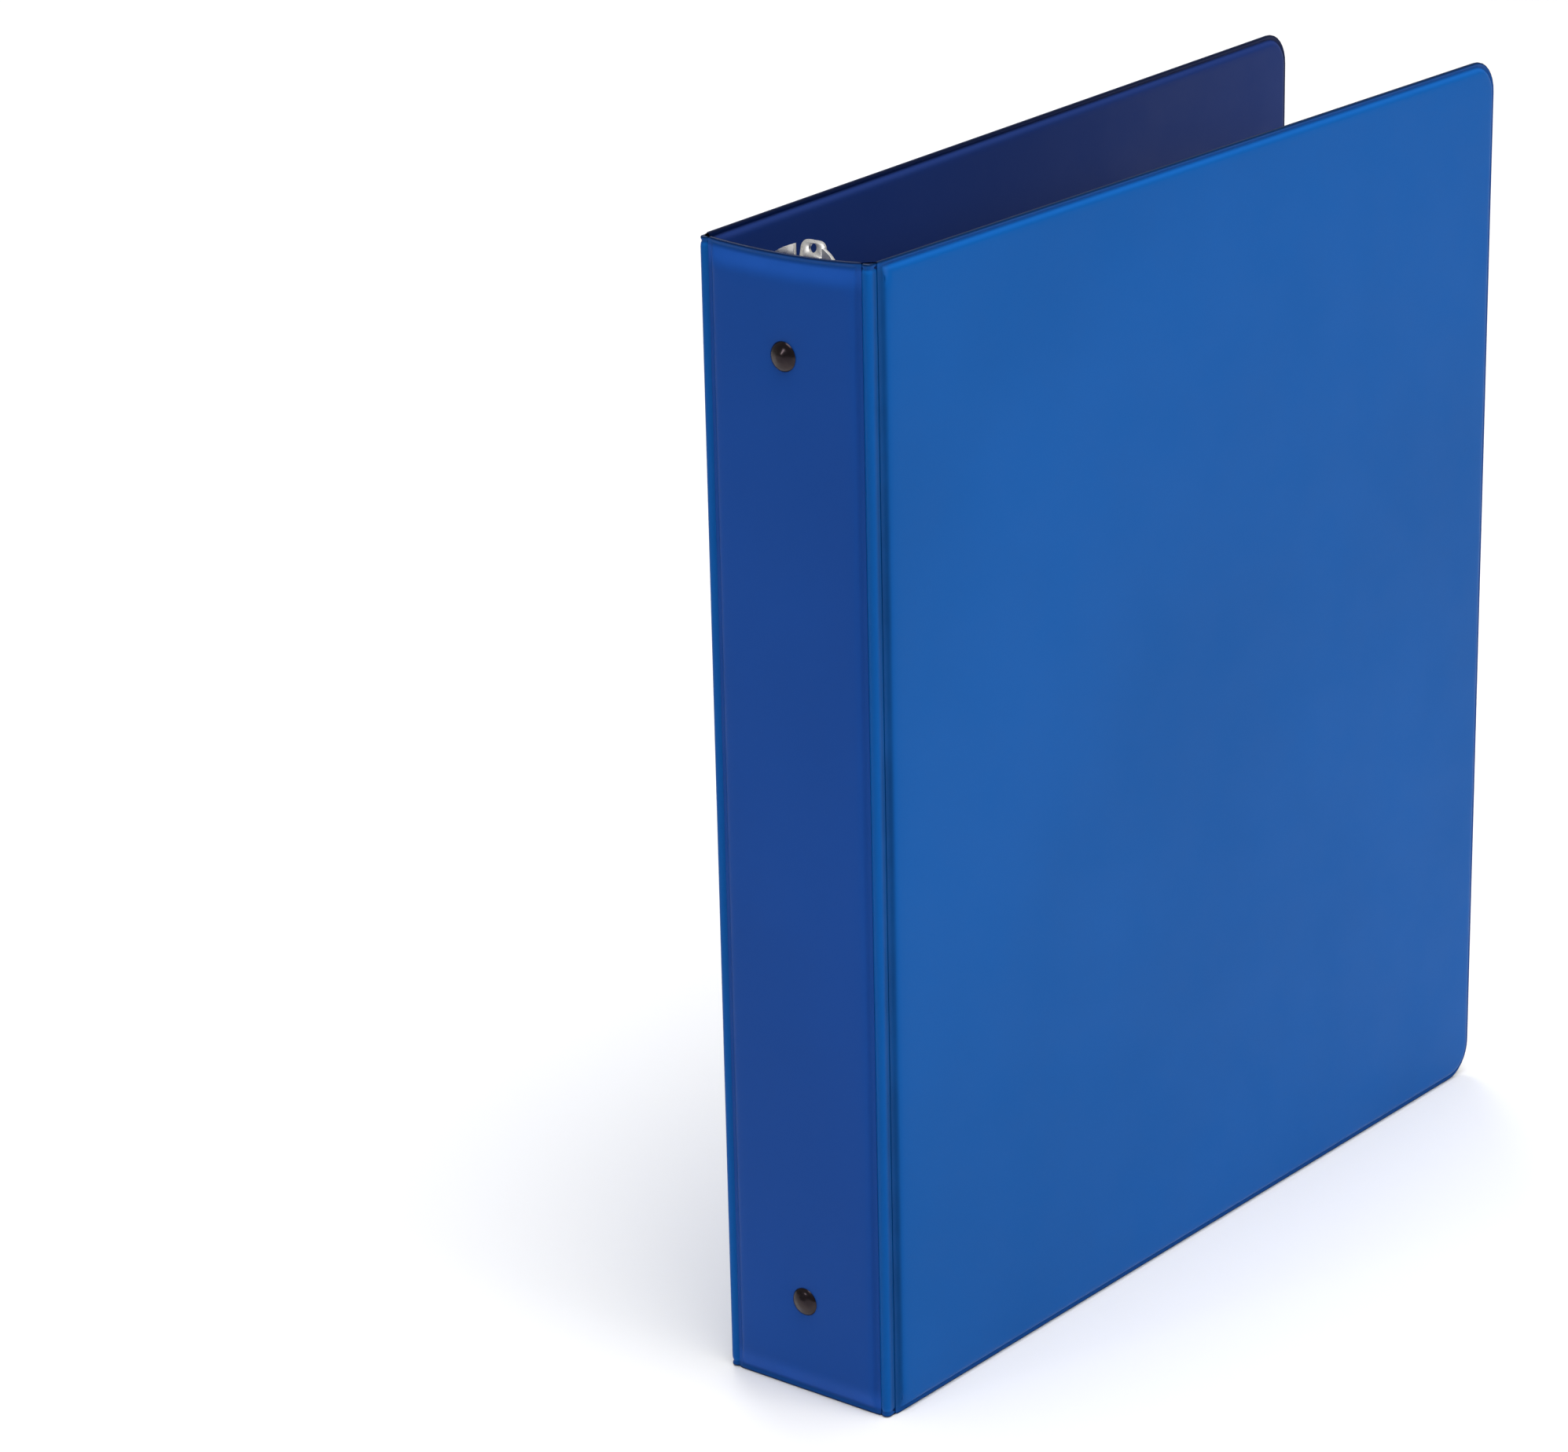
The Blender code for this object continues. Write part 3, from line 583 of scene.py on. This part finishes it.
def build_skin(name, panel, facing, hinge_table, materials, lively):
    """A welded vinyl skin on one face of a panel; lively is how far it ripples, from 0 to 1."""
    shape = bmesh.new()
    layer = shape.verts.layers.float.new("edge_distance")
    hinge_shade_layer = shape.verts.layers.float.new("seam")

    def vertex(u, z, height):
        made = shape.verts.new(panel.place(u, z, facing * height))
        made[layer] = panel.edge_distance(u, z) / MM
        # painted shade beside a hinge, fading out past its width
        past_hinge_shade = (panel.hinge_distance(u) - HINGE_SHADE_WIDTH) / HINGE_SHADE_FADE
        made[hinge_shade_layer] = panel.seam * (1 - smoothstep(past_hinge_shade))
        return made

    rows = []
    for (free, _), (hinged, _) in zip(panel.edge_table, hinge_table):
        rows.append([vertex(u, z, skin_height(panel, hinge_table, u, z, lively))
                     for u, z in panel.outline(free * MM, hinged * MM)])
    under = [[vertex(u, z, height * MM) for u, z in panel.outline(free * MM, hinged * MM)]
             for free, hinged, height in panel.underside]
    join_rows(shape, under[::-1] + rows)
    shape.faces.new(under[-1])
    free, hinged = panel.edge_table[-1][0] * MM, hinge_table[-1][0] * MM
    low = panel.low + hinged
    high = panel.high - (free if panel.has_fore_edge else hinged)
    count_u, count_z = panel.cells
    grid = [[vertex(u, z, skin_height(panel, hinge_table, u, z, lively))
             for u in np.linspace(low, high, count_u + 1)]
            for z in np.linspace(free, HEIGHT - free, count_z + 1)]
    join_rows(shape, grid, closed=False)
    return to_object(name, shape, materials, 50)


def spine_place(u, z, height):
    dip = SPINE_SAG * (1 - (u / SPINE_HALF) ** 2) * smoothstep((z - HEIGHT + SAG_REACH) / SAG_REACH)
    return at(PANEL_HALF - height, u, z - dip)


def cover_place(side):
    """How a point on a cover is placed: u from the hinge axis, then height outwards."""
    turn = Matrix.Rotation(side * SPLAY, 3, "Z")
    axis = Vector((HINGE_AXIS.x, side * HINGE_AXIS.y, 0))

    def place(u, z, height):
        point = turn @ Vector((u, side * (COVER_OFFSET + height), z)) + axis
        return at(*point)

    return place


def strip_radius(angle):
    """Out to the strip from the corner's middle, at an angle turned from the spine's side."""
    angles, radii = zip(*STRIP_PROFILE)
    return float(np.interp(math.degrees(angle), angles, radii)) * MM


def build_strip(name, side, materials):
    """The hinge strip round a corner of the case: bowed, creased, welded across both ends."""
    near_ends = [distance for distance, drop in STRIP_WELD]
    span = HEIGHT - 2 * STRIP_END
    middle = list(np.linspace(near_ends[-1], span / MM - near_ends[-1], STRIP_ROWS))
    heights = near_ends[:-1] + middle + [span / MM - distance for distance in near_ends[-2::-1]]
    angles = np.linspace(-STRIP_TUCK, math.pi / 2 + STRIP_TUCK, STRIP_CELLS + 1)
    shape = bmesh.new()
    layer = shape.verts.layers.float.new("edge_distance")
    hinge_shade_layer = shape.verts.layers.float.new("seam")
    rows = []
    for height in heights:
        distance = min(height * MM, span - height * MM)
        drop = read_table(STRIP_WELD, distance)
        section = [(strip_radius(a) - drop, a) for a in angles]
        section += [(STRIP_INNER + drop / 2, a) for a in angles[::-1]]
        row = []
        for radius, a in section:
            point = at(HINGE_LEG - radius * math.cos(a),
                       side * (SPINE_HALF + radius * math.sin(a)),
                       STRIP_END + height * MM)
            made = shape.verts.new(point)
            made[layer] = distance / MM
            # painted shade on the strip's side by the cover
            made[hinge_shade_layer] = STRIP_SHADE * smoothstep((a - STRIP_SHADE_START) / STRIP_SHADE_FADE)
            row.append(made)
        rows.append(row)
    for index, face in enumerate(join_rows(shape, rows)):
        if index % len(rows[0]) > STRIP_CELLS:
            face.material_index = 1
    shape.faces.new(rows[0])
    shape.faces.new(rows[-1])
    return to_object(name, shape, materials, 50)


def build_pocket(name, side, material):
    """A pocket sheet welded to the cover along three sides, hemmed and bowed at its mouth."""
    place = cover_place(side)
    low, high = POCKET_START - HINGE_AXIS.x, COVER_END - POCKET_MARGIN
    middle, half = (low + high) / 2, (high - low) / 2
    welds = [distance * MM for distance, lift in POCKET_WELD]
    across = [low + d for d in welds]
    across += list(np.arange(low + POCKET_GRID_START, high - POCKET_GRID_END, POCKET_STEP))
    across += [high - d for d in welds[::-1]]
    upright = [POCKET_MARGIN + d for d in welds]
    upright += list(np.arange(POCKET_MARGIN + POCKET_GRID_START, POCKET_HEIGHT - POCKET_GRID_START,
                              POCKET_STEP))
    upright += [POCKET_HEIGHT - mark * MM for mark in POCKET_HEM_ROWS]
    shape = bmesh.new()
    layer = shape.verts.layers.float.new("edge_distance")
    rows = []
    for z in upright:
        row = []
        for u in across:
            from_weld = min(u - low, high - u, z - POCKET_MARGIN)
            risen = z - POCKET_MARGIN - POCKET_BOW_START
            share = smoothstep(risen / (POCKET_HEIGHT - POCKET_MARGIN - POCKET_BOW_START))
            bow = max(1 - ((u - middle) / half) ** 2, 0) * share
            crease = math.exp(-((POCKET_HEIGHT - POCKET_HEM - z) / POCKET_CREASE_WIDTH) ** 2)
            lift = PANEL_HALF + POCKET_GAP + read_table(POCKET_WELD, from_weld)
            lift += POCKET_BULGE * bow * smoothstep(from_weld / POCKET_BULGE_REACH)
            lift -= POCKET_CREASE_DEPTH * crease
            cut = POCKET_CORNER_SLANT * max(POCKET_CORNER - (z - POCKET_MARGIN), 0)
            made = shape.verts.new(place(min(u, high - cut), z, -lift))
            made[layer] = POCKET_EDGE + from_weld / MM
            row.append(made)
        rows.append(row)
    join_rows(shape, rows, closed=False)
    pocket = to_object(name, shape, [material])
    sheet = pocket.modifiers.new("sheet", "SOLIDIFY")
    sheet.thickness = POCKET_SHEET
    sheet.offset = 0
    return pocket


# ---------------------------------------------------------------- ring mechanism

def end_height(end, inset):
    return HEIGHT - inset if end == TOP else inset


def ring_heights():
    middle = HEIGHT / 2
    return (("top", middle + RING_SPACING), ("middle", middle), ("bottom", middle - RING_SPACING))


def build_housing(material):
    """The arched cover of the mechanism, with rolled feet, ring slots and a notch for each lever."""
    half_path = [(HOUSING_FOOT_X, HOUSING_LIP_Y), (HOUSING_FOOT_X, HOUSING_WALL_Y)]
    shoulder_x = HOUSING_CENTRE_X + math.sqrt(HOUSING_RADIUS ** 2 - HOUSING_WALL_Y ** 2)
    half_path.append((shoulder_x, HOUSING_WALL_Y))
    arch_start = math.asin(HOUSING_ARCH_Y / HOUSING_RADIUS)
    arch = [(HOUSING_CENTRE_X + HOUSING_RADIUS * math.cos(a), HOUSING_RADIUS * math.sin(a))
            for a in np.linspace(arch_start, -arch_start, 41)]
    mirrored = [(x, -y) for x, y in half_path[::-1]]
    bends = [HOUSING_FOOT_BEND, HOUSING_SHOULDER_BEND]
    radii = bends + [0] * len(arch) + bends[::-1]
    path = half_path + arch + mirrored
    points = rounded_where(path, radii)
    outline = thickened(points, HOUSING_SHEET)
    housing = loft("ring_housing_plated", [[at(p.x, p.y, z) for p in outline] for z in (0, HEIGHT)],
                   [material])
    cutters = []
    for _, height in ring_heights():
        cutters += [slot_cutter(side, height, material) for side in (FRONT, BACK)]
    for end in (TOP, BOTTOM):
        cutters += [end_trimmer(end, material), notch_cutter(end, material)]
    return carve(housing, cutters, EDGE_ROUNDING)


def rounded_where(path, radii):
    """A polyline with a corner rounded wherever its radius isn't nought."""
    points = [Vector(path[0])]
    for index, radius in enumerate(radii[:len(path) - 2]):
        corner = path[index + 1]
        if radius:
            points += filleted((path[index], corner, path[index + 2]), (radius,))[1:-1]
        else:
            points.append(Vector(corner))
    points.append(Vector(path[-1]))
    return points


def slot_cutter(side, height, material):
    """A slot round-ended towards the middle and open over the housing's shoulder."""
    centre = SLOT_INNER + SLOT_HALF
    outline = [(centre - SLOT_HALF * math.cos(a), SLOT_HALF * math.sin(a))
               for a in np.linspace(-math.pi / 2, math.pi / 2, 17)]
    outline += [(CUT_REACH, SLOT_HALF), (CUT_REACH, -SLOT_HALF)]
    loops = [[at(x, side * y, height + dz) for y, dz in outline] for x in (SLOT_FLOOR, CUT_REACH)]
    return loft("slot", loops, [material])


def end_trimmer(end, material):
    """Leaves an end of the housing arc-shaped."""
    outline = []
    for angle in np.linspace(-HOUSING_END_SWEEP, HOUSING_END_SWEEP, 41):
        inset = HOUSING_END + HOUSING_END_RADIUS * (1 - math.cos(angle))
        outline.append((HOUSING_END_RADIUS * math.sin(angle), end_height(end, inset)))
    outline += [(outline[-1][0], end_height(end, -CUT_REACH)), (outline[0][0], end_height(end, -CUT_REACH))]
    loops = [[at(x, y, z) for y, z in outline] for x in (0, CUT_REACH)]
    return loft("end_trim", loops, [material])


def notch_cutter(end, material):
    """A round-cornered notch in an end of the housing."""
    corners = ((-NOTCH_HALF, -CUT_REACH), (-NOTCH_HALF, NOTCH_DEPTH),
               (NOTCH_HALF, NOTCH_DEPTH), (NOTCH_HALF, -CUT_REACH))
    outline = filleted(corners, (NOTCH_CORNER, NOTCH_CORNER))
    loops = [[at(x, p.x, end_height(end, p.y)) for p in outline] for x in (SLOT_FLOOR, CUT_REACH)]
    return loft("notch", loops, [material])


def ring_path():
    """Points and headings along a half ring, from its lapped tip round to its foot on the plate."""
    angles = [-RING_LAP + turn for turn in RING_TIP_TURNS] + [RING_LAP, RING_LAP]
    angles += list(np.linspace(RING_LAP, RING_BEND_ANGLE, 56)[1:])
    points = [Vector((RING_CENTRE_X + RING_RADIUS * math.cos(a), RING_RADIUS * math.sin(a)))
              for a in angles]
    headings = [Vector((-math.sin(a), math.cos(a))) for a in angles]
    inward = Vector((math.cos(RING_BEND_ANGLE), math.sin(RING_BEND_ANGLE)))
    centre = points[-1] + inward * RING_BEND_RADIUS
    for turned in np.linspace(RING_BEND_ANGLE, math.pi / 2, 9)[1:]:
        out = Vector((math.cos(turned + math.pi), math.sin(turned + math.pi)))
        points.append(centre + out * RING_BEND_RADIUS)
        headings.append(Vector((out.y, -out.x)))
    foot_y = points[-1].y
    plate_x = PLATE_AXIS.x - (PLATE_AXIS.y - foot_y) * math.tan(PLATE_TILT) + PLATE_HALF
    points.append(Vector((plate_x - RING_FOOT_SINK, foot_y)))
    headings.append(headings[-1])
    return points, headings


def build_half_ring(name, side, height, material):
    """A bent wire whose tip is a half-thick tongue lapping the other half ring's."""
    points, headings = ring_path()
    shape = bmesh.new()
    rows = []
    for index, (point, heading) in enumerate(zip(points, headings)):
        normal = Vector((-heading.y, heading.x))
        radius = RING_WIRE * (RING_TIP_SHARE if index == 0 else 1)
        row = []
        for step in range(WIRE_SIDES):
            angle = 2 * math.pi * step / WIRE_SIDES
            across, up = radius * math.cos(angle), radius * math.sin(angle)
            if index <= len(RING_TIP_TURNS):
                up = side * max(side * up, RING_LAP_GAP)
            place = point + normal * across
            row.append(shape.verts.new(at(place.x, side * place.y, height + up)))
        rows.append(row)
    join_rows(shape, rows)
    shape.faces.new(rows[0])
    shape.faces.new(rows[-1])
    return to_object(name, shape, [material])


def lever_widths(length):
    """(distance along the lever, half width): a foot, lugs at the pivot, and a round tip."""
    wide, lug = LEVER_HALF_WIDTH, LEVER_LUG_HALF_WIDTH
    lug_start, lug_end = LEVER_LUG_AT - LEVER_LUG_HALF_LENGTH, LEVER_LUG_AT + LEVER_LUG_HALF_LENGTH
    stations = [(distance * MM, wide - narrowing * MM) for distance, narrowing in LEVER_FOOT]
    stations += [(lug_start - LEVER_LUG_SLOPE, wide), (lug_start, lug),
                 (lug_end, lug), (lug_end + LEVER_LUG_SLOPE, wide)]
    for angle in np.linspace(0, math.radians(88), 15):
        stations.append((length - LEVER_TIP_RADIUS * (1 - math.sin(angle)),
                         wide - LEVER_TIP_RADIUS * (1 - math.cos(angle))))
    return stations


def build_lever(name, end, material):
    """A bent strip with lugs at its pivot and a round tab with a hole."""
    path = filleted([(x * MM, inset * MM) for x, inset in LEVER_PATH], [r * MM for r in LEVER_BENDS])
    lengths = [0.0]
    for start, finish in zip(path, path[1:]):
        lengths.append(lengths[-1] + (finish - start).length)
    distances, half_widths = zip(*lever_widths(lengths[-1]))
    loops = []
    for stop in sorted(set(list(distances) + lengths[1:-1])):
        x = float(np.interp(stop, lengths, [p.x for p in path]))
        inset = float(np.interp(stop, lengths, [p.y for p in path]))
        reach = 0.05 * MM
        before = Vector([np.interp(stop - reach, lengths, [p[i] for p in path]) for i in (0, 1)])
        after = Vector([np.interp(stop + reach, lengths, [p[i] for p in path]) for i in (0, 1)])
        along = (after - before).normalized()
        normal = Vector((-along.y, along.x)) * LEVER_SHEET / 2
        half = float(np.interp(stop, distances, half_widths))
        loops.append([at(x + sign * normal.x, wide * half, end_height(end, inset + sign * normal.y))
                      for sign, wide in ((1, 1), (1, -1), (-1, -1), (-1, 1))])
    lever = loft(name, loops, [material])
    tab = (path[-1] - path[-2]).normalized()
    middle = path[-1] - tab * LEVER_HOLE_INSET
    normal = Vector((-tab.y, tab.x))
    hole_loops = []
    for reach in (-LEVER_HOLE_REACH, LEVER_HOLE_REACH):
        centre = middle + normal * reach
        hole_loops.append([at(centre.x + tab.x * LEVER_HOLE * math.cos(a), LEVER_HOLE * math.sin(a),
                              end_height(end, centre.y + tab.y * LEVER_HOLE * math.cos(a)))
                           for a in np.linspace(0, 2 * math.pi, 33)[:-1]])
    return carve(lever, [loft("hole", hole_loops, [material])], EDGE_ROUNDING)


# ---------------------------------------------------------------- the whole binder

VINYL = (0.0012, 0.082, 0.325)
# the covers' blue made darker and more purple as painted shade for the spine, which gets less light
SHADED_SPINE_VINYL = (0.0045, 0.056, 0.28)
# rim colour: the welded flange's darker vinyl, partly painted shade
VINYL_RIM = (0.003, 0.056, 0.24)
# the covers' blue darkened and turned purple as painted shade for the inside of the case; its rim is darker
# still with painted shade
SHADED_INNER_VINYL = (0.007, 0.026, 0.14)
SHADED_INNER_RIM = (0.002, 0.010, 0.06)

vinyl = vinyl_material("blue_vinyl", VINYL, VINYL_RIM, 0.36, 0.06, 0.012 * MM)
# the spine's wide, pale shoulder band is partly painted light on the slope along its top
shaded_spine_vinyl = vinyl_material("blue_spine_vinyl_painted_shade", SHADED_SPINE_VINYL, VINYL_RIM, 0.36, 0.08, 0.012 * MM,
                             (1.9, 5.4, 2.2, 1.4))
lining = vinyl_material("lining_vinyl_painted_shade", SHADED_INNER_VINYL, SHADED_INNER_RIM, 0.42, 0.07, 0.018 * MM,
                        (1.7, 2.0, 0.7, 1.0))
# the pocket sheets take the lining's painted shade, a little lighter
pocket_vinyl = vinyl_material("pocket_sheet_vinyl_painted_shade", shade(SHADED_INNER_VINYL, 1.15), SHADED_INNER_RIM, 0.36, 0.14,
                              0.015 * MM)
nickel = metal_material("nickel_plate", (0.84, 0.82, 0.78), (0.90, 0.885, 0.86), 0.30, 0.3,
                        0.9)
gunmetal = metal_material("dark_rivet_metal", (0.026, 0.020, 0.023), (0.075, 0.060, 0.056), 0.2, 0.2)
card = card_material()

spine = Panel(spine_place, -SPINE_HALF, SPINE_HALF, False, SPINE_EDGE, SPINE_UNDERSIDE, SPINE_CELLS)
# a faint painted shade beside the spine's hinges
spine.seam = SPINE_HINGE_SHADE
spine.dimples = [(0, end_height(end, RIVET_INSET)) for end, label in ENDS]
dress(build_skin("spine_outer_skin", spine, OUTWARDS, OUTER_HINGE, [shaded_spine_vinyl], 1.0),
      "spine_outer_vinyl", "spine")
dress(build_skin("spine_inner_skin", spine, INWARDS, INNER_HINGE, [lining], 0.0),
      "spine_inner_vinyl", "spine")
for side, side_name in SIDES:
    cover = Panel(cover_place(side), HINGE_REACH, COVER_END, True, COVER_EDGE, COVER_UNDERSIDE,
                  COVER_CELLS)
    body = side_name + "_cover"
    dress(build_skin(side_name + "_outer_skin", cover, OUTWARDS, OUTER_HINGE, [vinyl], 1.0),
          side_name + "_outer_vinyl", body)
    dress(build_skin(side_name + "_inner_skin", cover, INWARDS, INNER_HINGE, [lining], 0.3),
          side_name + "_inner_vinyl", body)
    dress(build_pocket(side_name + "_inside_pocket", side, pocket_vinyl),
          side_name + "_pocket", body)
    strip = build_strip(side_name + "_hinge_strip", side, [vinyl, lining])
    dress(strip, side_name + "_hinge_vinyl", None)
    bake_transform(strip)
    for label, height in ring_heights():
        half_ring = build_half_ring("%s_ring_wire_%s" % (side_name, label), side, height, nickel)
        dress(half_ring, "%s_half_ring_%s" % (side_name, label), side_name + "_rings")

dress(build_housing(nickel), "ring_housing", "spine")
for end, label in ENDS:
    dress(build_lever(label + "_lever_plated", end, nickel), label + "_lever", label + "_lever")
    rivet = lathe(label + "_rivet_domed", RIVET_HEAD + RIVET_TAIL, end_height(end, RIVET_INSET),
                  gunmetal)
    dress(rivet, label + "_rivet", "spine")

for name, material in (("spine_board", card), ("front_board", card), ("back_board", card),
                       ("front_plate", nickel), ("back_plate", nickel)):
    frame["nodes"][name].material_slots[0].material = material
for name in ("front_plate", "back_plate"):
    round_edges(frame["nodes"][name], EDGE_ROUNDING, 50)


# ---------------------------------------------------------------- floor, light and camera

def area_light(name, place, target, size, power, colour):
    data = bpy.data.lights.new(name, "AREA")
    data.shape = "DISK"
    data.size = size
    data.energy = power
    data.color = colour
    lamp = bpy.data.objects.new(name, data)
    lamp.location = place
    lamp.rotation_euler = (Vector(place) - Vector(target)).to_track_quat("Z", "Y").to_euler()
    bpy.context.scene.collection.objects.link(lamp)


def build_floor():
    shape = bmesh.new()
    reach = 6.0
    for x, y in ((-reach, -reach), (reach, -reach), (reach, reach), (-reach, reach)):
        shape.verts.new((x, y, 0))
    shape.faces.new(shape.verts)
    floor = to_object("studio_floor", shape, [floor_material()])


def build_world():
    world = bpy.data.worlds.new("studio_air")
    world.use_nodes = True
    tree = world.node_tree
    direction = node(tree, "TexCoord").outputs["Generated"]
    upward = node(tree, "SeparateXYZ", {"Vector": direction}).outputs["Z"]
    sky = mixed(tree, ranged(tree, upward, -0.1, 0.8, 0, 1), (0.8, 0.8, 0.8), (1.0, 1.0, 1.0))
    tree.links.new(sky, tree.nodes["Background"].inputs["Color"])
    tree.nodes["Background"].inputs["Strength"].default_value = 0.46
    bpy.context.scene.world = world


def build_camera():
    azimuth, elevation, roll = math.radians(-51.55), math.radians(20.0), math.radians(-1.36)
    distance = 1.274
    aside, below = 85.5 * MM, 9.2 * MM
    aim = at(135 * MM, 0, HEIGHT / 2)
    back = Vector((math.sin(azimuth) * math.cos(elevation), -math.cos(azimuth) * math.cos(elevation),
                   math.sin(elevation)))
    level = Vector((math.cos(azimuth), math.sin(azimuth), 0))
    upright = back.cross(level)
    right = level * math.cos(roll) + upright * math.sin(roll)
    up = upright * math.cos(roll) - level * math.sin(roll)
    place = aim + back * distance - right * aside - up * below
    camera = bpy.data.objects.new("camera", bpy.data.cameras.new("camera"))
    camera.data.lens = 112
    camera.data.sensor_width = 36
    camera.matrix_world = Matrix.Translation(place) @ Matrix((right, up, back)).transposed().to_4x4()
    bpy.context.scene.collection.objects.link(camera)
    bpy.context.scene.camera = camera


build_floor()
build_world()
area_light("key_softbox", (0.25, -2.1, 1.4), (0, 0, 0.15), 1.3, 18.5, (1.0, 0.985, 0.96))
area_light("spine_spot", (-1.9, 0.6, 0.8), (-0.13, 0, 0.2), 0.22, 2.55, (1.0, 0.99, 0.97))
area_light("top_softbox", (-0.3, -0.4, 2.3), (0, 0, 0.1), 1.8, 40, (1.0, 1.0, 1.0))
area_light("floor_softbox", (1.3, 1.6, 2.0), (1.3, 1.6, 0), 1.2, 22, (1.0, 1.0, 1.0))
build_camera()
bpy.context.scene.view_settings.view_transform = "Standard"
